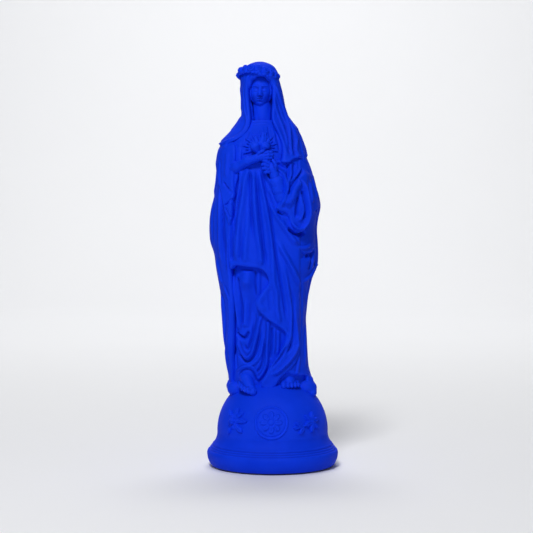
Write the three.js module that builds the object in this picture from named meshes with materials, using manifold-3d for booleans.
// A standing madonna statue, cast in pieces and sprayed one matt colour. Millimetres, +Z up, facing -Y.
// The origin is the centre of the felt pad's underside. "Right" and "left" are the figure's own.
import * as THREE from 'three';
import { mergeVertices } from 'three/addons/utils/BufferGeometryUtils.js';
import Module from 'manifold-3d';

const wasm = await Module();
wasm.setup();

// ---------------------------------------------------------------- driving dimensions
const GAP = 0.4; // clearance left at every joint between two castings
const PAD = { radius: 59, thick: 1.5 };
const PLINTH = { radius: 65, foot: 60.6, rim: 17, top: 34.6, waist: 55.2 };
const GLOBE = { radius: 54.8, centre: 35.6, base: 34.6, seat: 76 };
const CORE = { x: -6, y: 2, radius: 17, roof: 62 }; // the hollow that the pouring plug leaves
const ROD = { radius: 3, bottom: 50, top: 208 };
const NUT = { radius: 5.8, height: 5 };
const WASHER = { radius: 10, thick: 1.6 };
const ANCHOR = { radius: 8, bottom: 188, height: 10 };
const MEDALLION = { radius: 17, thick: 3.2, tilt: 0.12 };
const HEAD = { x: -11.5, y: -1, z: 372, width: 11.8, depth: 14, height: 18.5, neck: 7.2 };
const CROWN = { x: -14.5, y: 1, z: 386.5, radius: 18.6, tube: 3.6, tilt: 0.2 };
const HEART = { x: -12, y: -35, z: 311, lobe: 5.6, thick: 7 };
const DOWEL = 1.6;
const WELD = 0.03; // features finer than this are smoothed away after a cut
const ROUND = 28; // sides of a garment's cross-section

// Garment outlines: height, then how far the cloth reaches to the figure's right, left, front and back.
const ROBE = [
  [66, -38, 28, -20, 24],
  [97, -39, 27, -25, 24],
  [145, -41, 24, -27, 24],
  [190, -44, 28, -30, 25],
  [250, -46, 32, -30, 26],
  [292, -45, 28, -28, 25],
  [318, -36, 16, -24, 21],
  [332, -25, 7, -17, 16],
  [341, -21, 1, -13, 13],
];
const MANTLE = [
  [70, -45, 36, -28, 30],
  [97, -47, 34.5, -32, 31],
  [150, -50.5, 32, -34, 31],
  [185, -55, 37, -37, 32],
  [205, -57, 42.5, -37, 33],
  [228, -64.2, 42, -37.5, 34],
  [256, -60, 46.5, -37.5, 34],
  [292, -54.5, 38, -35.5, 32],
  [312, -52, 31, -32, 29],
];
const VEIL = [
  [304.5, -52.5, 33.5, -33, 31],
  [318, -51, 29, -31, 29],
  [330, -43.5, 25, -25, 27],
  [345, -31, 14.5, -20, 24],
  [364, -31, 9.8, -19, 23.5],
  [382, -33, 5, -18, 21.5],
  [392, -28, 2.5, -13, 16],
  [398, -20, -5, -5, 8],
  [400, -15, -9, -1, 3],
];

const CLOUDS = [
  [66, -46, 42, -16, 42],
  [80, -47, 43, -14, 42],
  [86, -45, 41, -12, 39],
];

// ---------------------------------------------------------------- helpers
const V = (x, y, z) => new THREE.Vector3(x, y, z);
const UP = V(0, 0, 1);

/** A closed three.js geometry as a manifold solid. */
function solid(geometry) {
  const flat = geometry.index ? geometry.toNonIndexed() : geometry.clone();
  flat.deleteAttribute('normal');
  flat.deleteAttribute('uv');
  const merged = mergeVertices(flat, 1e-3);
  const made = new wasm.Manifold(new wasm.Mesh({
    numProp: 3,
    vertProperties: merged.attributes.position.array,
    triVerts: new Uint32Array(merged.index.array),
  }));
  if (made.volume() < 0) throw new Error('a shape is inside out');
  return made;
}

/** A manifold solid as a three.js geometry. */
function geometryOf(made) {
  const mesh = made.getMesh();
  const geometry = new THREE.BufferGeometry();
  geometry.setAttribute('position', new THREE.BufferAttribute(mesh.vertProperties, 3));
  geometry.setIndex(new THREE.BufferAttribute(mesh.triVerts, 1));
  geometry.computeVertexNormals();
  return geometry;
}

/** The biggest body of a cut solid, its near-coincident corners welded first; loose chips are dropped. */
function biggest(made) {
  const welded = solid(geometryOf(made.simplify(WELD)));
  return welded.decompose().sort((a, b) => b.volume() - a.volume())[0];
}

/** Rings of points, each closed round, skinned one to the next and capped at both ends. */
function tubeOfRings(rings, cap = fanCap) {
  const count = rings[0].length;
  const faces = [];
  for (let j = 0; j < rings.length - 1; j++) {
    for (let i = 0; i < count; i++) {
      const a = j * count + i;
      const b = j * count + (i + 1) % count;
      faces.push(a, b, b + count, a, b + count, a + count);
    }
  }
  const points = rings.flat();
  const lid = (start) => cap(points, start, count);
  lid(0).forEach(([a, b, c]) => faces.push(a, c, b));
  lid((rings.length - 1) * count).forEach(([a, b, c]) => faces.push(a, b, c));
  const geometry = new THREE.BufferGeometry().setFromPoints(points);
  geometry.setIndex(faces);
  return solid(geometry);
}

/** A lid for a round ring: a fan about its middle, which is added to the points. */
function fanCap(points, start, count) {
  const middle = points.push(centroid(points.slice(start, start + count))) - 1;
  return Array.from({ length: count }, (_, i) => [middle, start + i, start + (i + 1) % count]);
}

/** A lid for a C-shaped ring, whose outer run comes back along its inner run: a ladder between the two. */
function ladderCap(points, start, count) {
  const rungs = Array.from({ length: count / 2 - 1 }, (_, i) => [start + i, start + count - 1 - i]);
  return rungs.flatMap(([a, b]) => [[a, a + 1, b - 1], [a, b - 1, b]]);
}

function centroid(points) {
  return points.reduce((sum, p) => sum.clone().add(p), V(0, 0, 0)).divideScalar(points.length);
}

/** An outline's reaches at height z, eased between its two nearest rows. */
function reaches(rows, z) {
  const k = Math.max(0, Math.min(rows.length - 2, rows.findIndex((row) => row[0] > z) - 1));
  const high = z >= rows[rows.length - 1][0] ? rows.length - 2 : k;
  const [from, to] = [rows[high], rows[high + 1]];
  const t = THREE.MathUtils.clamp((z - from[0]) / (to[0] - from[0]), 0, 1);
  return from.slice(1).map((value, i) => THREE.MathUtils.lerp(value, to[i + 1], t));
}

/** A garment's cross-section: a squared-off oval through the four reaches, offset outward by grow. */
function section(rows, z, grow, from = 0, to = 2 * Math.PI, count = ROUND) {
  const [right, left, front, back] = reaches(rows, z);
  const centre = [(right + left) / 2, (front + back) / 2];
  const half = [(left - right) / 2 + grow, (back - front) / 2 + grow];
  const closed = to - from >= 2 * Math.PI;
  return Array.from({ length: closed ? count : count + 1 }, (_, i) => {
    const angle = from + (to - from) * i / count;
    const squash = (w) => Math.sign(w) * Math.abs(w) ** 0.88;
    return V(centre[0] + half[0] * squash(Math.cos(angle)), centre[1] + half[1] * squash(Math.sin(angle)), z);
  });
}

/** Heights from low to high in even steps. */
function heights(low, high, steps) {
  return Array.from({ length: steps + 1 }, (_, i) => low + (high - low) * i / steps);
}

/** The whole body inside an outline, between two heights. */
function body(rows, low, high, steps, grow = 0) {
  return tubeOfRings(heights(low - grow, high + grow, steps).map((z) => section(rows, z, grow)));
}

/** A panel of cloth round part of an outline: inner and outer are offsets from it, in millimetres. */
function panel(rows, low, high, steps, from, to, inner, outer, grow = 0, count = 16) {
  const spread = grow / 35;
  return tubeOfRings(heights(low - grow, high + grow, steps).map((z) => {
    const out = section(rows, z, outer + grow, from - spread, to + spread, count);
    const into = section(rows, z, inner - grow, from - spread, to + spread, count);
    return [...out, ...into.reverse()];
  }), ladderCap);
}

/** A round bar between two points, tapered from one radius to the other. */
function bar(a, b, radiusA, radiusB = radiusA, grow = 0, sides = 12) {
  const along = b.clone().sub(a);
  const length = along.length() + 2 * grow;
  const geometry = new THREE.CylinderGeometry(radiusB + grow, radiusA + grow, length, sides);
  geometry.rotateX(Math.PI / 2);
  geometry.applyQuaternion(new THREE.Quaternion().setFromUnitVectors(UP, along.normalize()));
  geometry.translate((a.x + b.x) / 2, (a.y + b.y) / 2, (a.z + b.z) / 2);
  return solid(geometry);
}

/** An egg of the given half-sizes. */
function egg(centre, half, grow = 0, sides = 14) {
  const geometry = new THREE.SphereGeometry(1, sides, Math.round(sides * 0.65));
  geometry.rotateX(Math.PI / 2);
  geometry.scale(half[0] + grow, half[1] + grow, half[2] + grow);
  geometry.translate(centre.x, centre.y, centre.z);
  return solid(geometry);
}

/** A solid of revolution about the statue's axis, from (radius, height) pairs that close on the axis. */
function turned(profile, sides = 48) {
  const geometry = new THREE.LatheGeometry(profile.map(([r, z]) => new THREE.Vector2(r, z)), sides);
  geometry.rotateX(Math.PI / 2);
  return solid(geometry);
}

/** A flat outline pushed out along -Y into a plate, its back face at depth y. */
function plate(shape, y, thick, grow = 0) {
  const geometry = new THREE.ExtrudeGeometry(shape, { depth: thick + 2 * grow, bevelEnabled: false, curveSegments: 8 });
  geometry.rotateX(Math.PI / 2);
  geometry.translate(0, y + grow, 0);
  return solid(geometry);
}

/** A star-like outline round (x, z): radius as a function of angle. */
function petals(x, z, radius, count, depth, steps = 36) {
  return new THREE.Shape(Array.from({ length: steps }, (_, i) => {
    const angle = 2 * Math.PI * i / steps;
    const r = radius * (1 - depth * (0.5 + 0.5 * Math.cos(count * angle)));
    return new THREE.Vector2(x + r * Math.cos(angle), z + r * Math.sin(angle));
  }));
}

// ---------------------------------------------------------------- the sub-parts, each a function of its growth
const globeBall = (grow) => egg(V(0, 0, GLOBE.centre), [GLOBE.radius, GLOBE.radius, GLOBE.radius], grow, 40);

const headDowel = (g) => bar(V(HEAD.x, 1, 326), V(HEAD.x, 1, 350), DOWEL, DOWEL, g, 10);
const rightWrist = [V(-40, -27, 289), V(-17, -37, 300)];
const leftWrist = [V(9, -34, 271), V(-1, -38, 298)];

function rightDowel(g) {
  return bar(V(-46, -24, 287), V(-33, -30, 292.5), DOWEL, DOWEL, g, 10);
}

function leftDowel(g) {
  return bar(V(12, -32.5, 262), V(7, -34.5, 277), DOWEL, DOWEL, g, 10);
}

function heart(g) {
  const r = HEART.lobe + g;
  const shape = new THREE.Shape();
  shape.moveTo(HEART.x, HEART.z - 9 - g);
  shape.bezierCurveTo(HEART.x - 5, HEART.z - 5, HEART.x - 1.75 * r, HEART.z - 1, HEART.x - 1.75 * r, HEART.z + 2.5);
  shape.bezierCurveTo(HEART.x - 1.75 * r, HEART.z + 8 + g, HEART.x, HEART.z + 8 + g, HEART.x, HEART.z + 4 + g);
  shape.bezierCurveTo(HEART.x, HEART.z + 8 + g, HEART.x + 1.75 * r, HEART.z + 8 + g, HEART.x + 1.75 * r, HEART.z + 2.5);
  shape.bezierCurveTo(HEART.x + 1.75 * r, HEART.z - 1, HEART.x + 5, HEART.z - 5, HEART.x, HEART.z - 9 - g);
  return plate(shape, -20, HEART.thick + 10, g);
}

function flame(g) {
  const a = V(HEART.x + 2, HEART.y + 5, HEART.z + 9);
  return bar(a, V(HEART.x + 4, HEART.y + 6, HEART.z + 19), 3.4, 0.8, g, 10);
}

/** A burst of rays lying on the breast behind the heart. */
function rays(g) {
  const skin = panel(ROBE, 286, 336, 5, 1.15 * Math.PI, 1.85 * Math.PI, -2, 2, g, 12);
  return skin.intersect(plate(petals(HEART.x, HEART.z, 21 + g, 12, 0.3, 72), 0, 60));
}

function rightHand(g) {
  const [elbow, wrist] = rightWrist;
  const palm = V(-8, -39.5, 303);
  return bar(elbow, wrist, 6.4, 4, g)
    .add(bar(wrist, palm, 4, 3.4, g))
    .add(egg(V(-7, -39, 303), [7, 3.4, 4], g));
}

function leftHand(g) {
  const [elbow, wrist] = leftWrist;
  return bar(elbow, wrist, 5.6, 3.6, g).add(egg(V(-2.5, -37.5, 300), [4.2, 3.2, 8], g));
}

const rightSleeve = (g) => bar(V(-47, -17, 276), V(-38, -25, 291), 9.5, 8, g).add(egg(V(-43, -23, 270), [6, 6, 22], g));
const leftSleeve = (g) => bar(V(24, -18, 280), V(11, -31, 264), 10, 8, g);

function head(g) {
  const skull = egg(V(HEAD.x, HEAD.y, HEAD.z), [HEAD.width, HEAD.depth, HEAD.height], g);
  return skull.add(bar(V(HEAD.x, 1, 331), V(HEAD.x, 1, 362), HEAD.neck, HEAD.neck, g, 20));
}

function crown(g) {
  const geometry = new THREE.TorusGeometry(CROWN.radius, CROWN.tube + g, 8, 28);
  geometry.scale(1, 1.04, 1);
  geometry.rotateX(CROWN.tilt);
  geometry.rotateY(-0.06);
  geometry.translate(CROWN.x, CROWN.y, CROWN.z);
  return solid(geometry);
}

const VEIL_CLOTH = 5;

/** The veil: a cap of cloth over head and shoulders, open below and down the front. */
function veil(g) {
  const hollow = tubeOfRings(heights(290, 395, 11).map((z) => section(VEIL, z, -VEIL_CLOTH - g)));
  return body(VEIL, 305, 400, 11, g).subtract(hollow).subtract(faceOpening());
}

/** The slot down the front of the veil that shows the face, neck and breast. */
function faceOpening() {
  const shape = new THREE.Shape();
  shape.moveTo(-40, 300);
  shape.lineTo(12, 300);
  shape.quadraticCurveTo(8, 335, 2, 352);
  shape.quadraticCurveTo(0, 384, HEAD.x, 385);
  shape.quadraticCurveTo(-24, 384, -25.5, 352);
  shape.quadraticCurveTo(-27, 336, -44, 322);
  shape.lineTo(-40, 300);
  return plate(shape, -4, 40);
}

function apron(g) {
  const shape = new THREE.Shape();
  shape.moveTo(-30 - g, 296 + g);
  shape.lineTo(-4 + g, 300 + g);
  shape.lineTo(12 + g, 262);
  shape.lineTo(30 + g, 240);
  shape.lineTo(26 + g, 150);
  shape.lineTo(14 + g, 131 - g);
  shape.lineTo(-18 - g, 158);
  shape.lineTo(-7 - g, 180);
  shape.lineTo(-12, 200 - g);
  shape.lineTo(-45 - g, 206 - g);
  shape.lineTo(-30 - g, 296 + g);
  const swath = panel(ROBE, 120, 304, 8, 1.06 * Math.PI, 1.94 * Math.PI, GAP, 5.5, g, 14);
  return swath.intersect(plate(shape, 0, 80));
}

const armDrape = (g) => panel(MANTLE, 232, 300, 5, 1.62 * Math.PI, 1.93 * Math.PI, -1, 4.5, g, 7);
const mantle = (g) => panel(MANTLE, 84, 304, 10, -0.22 * Math.PI, 1.22 * Math.PI, -5, 0, g, 20);
const robe = (g) => body(ROBE, GLOBE.seat + GAP, 341, 11, g);
const rightFoot = (g) => egg(V(-22, -27, 84), [6, 13, 6.5], g).add(egg(V(-19, -37.5, 79), [4.2, 5, 3.6], g));
const leftFoot = (g) => egg(V(17, -24, 86), [6, 10, 5], g);

/** The bank of cloud that wraps the back of the hem and rests on the globe. */
const clouds = (g) => body(CLOUDS, 67, 83.5, 5, g);

function medallion(g) {
  const out = V(0, -Math.cos(MEDALLION.tilt), Math.sin(MEDALLION.tilt));
  const centre = V(-1, 0, GLOBE.centre).addScaledVector(out, GLOBE.radius - 1.6);
  return bar(centre, centre.clone().addScaledVector(out, MEDALLION.thick), MEDALLION.radius, MEDALLION.radius, g, 36);
}

/** A flower spray raised from the globe: a lobed plate kept to a thin shell of the ball. */
function spray(turn, count) {
  return (g) => {
    const blank = plate(petals(0, GLOBE.centre + 5, 12.5 + g, count, 0.35, 30), -20, 60).rotate([0, 0, turn]);
    return blank.intersect(globeBall(2.6 + g)).subtract(globeBall(-0.8 - g));
  };
}

/** The hollow left by the pouring plug, bored up from the underside as far as the given height. */
const bore = (from, top, radius) => bar(V(CORE.x, CORE.y, from), V(CORE.x, CORE.y, top), radius, radius, 0, 28);

const globe = (g) => globeBall(g)
  .intersect(turned([[0, GLOBE.base - g], [80, GLOBE.base - g], [80, GLOBE.seat + g], [0, GLOBE.seat + g]]))
  .subtract(bore(10, CORE.roof, CORE.radius));

function plinth(g) {
  const { radius, foot, rim, top, waist } = PLINTH;
  const low = PAD.thick + GAP - g;
  return turned([
    [0, low], [foot, low], [radius - 1.8, 5], [radius - 0.4, 10], [radius, 14], [radius - 1.4, rim],
    [radius - 2.6, rim + 0.4], [radius - 2.8, rim + 1.9], [radius - 4.1, rim + 2.3], [radius - 4.3, rim + 3.9],
    [radius - 5.6, rim + 4.3], [radius - 5.8, rim + 6], [waist + 2, top - 9.2], [waist + 0.8, top - 6],
    [waist + 0.1, top - 3], [waist, top - GAP + g], [0, top - GAP + g],
  ]).subtract(bore(-5, top + 5, CORE.radius));
}

const pad = () => turned([[0, 0], [PAD.radius, 0], [PAD.radius, PAD.thick], [0, PAD.thick]]);
const rod = (g) => bar(V(CORE.x, CORE.y, ROD.bottom), V(CORE.x, CORE.y, ROD.top), ROD.radius, ROD.radius, g, 16);
const ringed = (low, high, radius, sides, g) =>
  bar(V(CORE.x, CORE.y, low), V(CORE.x, CORE.y, high), radius, radius, g, sides).subtract(rod(GAP));
const washerTop = CORE.roof - GAP;
const washer = (g) => ringed(washerTop - WASHER.thick, washerTop, WASHER.radius, 24, g);
const nutTop = washerTop - WASHER.thick - GAP;
const nut = (g) => ringed(nutTop - NUT.height, nutTop, NUT.radius, 6, g);
const anchor = (g) => ringed(ANCHOR.bottom, ANCHOR.bottom + ANCHOR.height, ANCHOR.radius, 8, g);
const robeHollow = () => bore(60, 172, 15);

// ---------------------------------------------------------------- materials
const MATT_BLUE = new THREE.MeshStandardMaterial({ color: 0x0a3ad8, roughness: 0.85, metalness: 0 });
const FELT = new THREE.MeshStandardMaterial({ color: 0x10206a, roughness: 1, metalness: 0 });
const ZINC = new THREE.MeshStandardMaterial({ color: 0xb8bcc2, roughness: 0.35, metalness: 1 });

// Each sub-part gives way to those above it: it is cut back GAP clear of them.
const SUBPARTS = [
  ['tie_rod', rod, ZINC],
  ['rod_washer', washer, ZINC],
  ['rod_nut', nut, ZINC],
  ['rod_anchor', anchor, ZINC],
  ['head_dowel', headDowel, ZINC],
  ['right_hand_dowel', rightDowel, ZINC],
  ['left_hand_dowel', leftDowel, ZINC],
  ['right_hand', rightHand, MATT_BLUE],
  ['left_hand', leftHand, MATT_BLUE],
  ['heart', heart, MATT_BLUE],
  ['heart_flame', flame, MATT_BLUE],
  ['heart_rays', rays, MATT_BLUE],
  ['right_sleeve', rightSleeve, MATT_BLUE],
  ['left_sleeve', leftSleeve, MATT_BLUE],
  ['head', head, MATT_BLUE],
  ['rose_crown', crown, MATT_BLUE],
  ['veil', veil, MATT_BLUE],
  ['left_arm_drape', armDrape, MATT_BLUE],
  ['mantle_apron', apron, MATT_BLUE],
  ['mantle', mantle, MATT_BLUE],
  ['right_foot', rightFoot, MATT_BLUE],
  ['left_foot', leftFoot, MATT_BLUE],
  ['medallion', medallion, MATT_BLUE],
  ['rose_spray', spray(-33, 5), MATT_BLUE],
  ['lily_spray', spray(33, 6), MATT_BLUE],
  ['globe', globe, MATT_BLUE],
  ['robe', (g) => robe(g).subtract(robeHollow()), MATT_BLUE],
  ['cloud_bank', clouds, MATT_BLUE],
  ['plinth', plinth, MATT_BLUE],
  ['felt_pad', pad, FELT],
];

const statue = new THREE.Group();
const cutters = [];
for (const [name, shape, material] of SUBPARTS) {
  let made = shape(0);
  for (const cutter of cutters) made = made.subtract(cutter);
  const mesh = new THREE.Mesh(geometryOf(biggest(made)), material);
  mesh.name = name;
  statue.add(mesh);
  if (name !== 'felt_pad') cutters.push(shape(GAP));
}

export default statue;
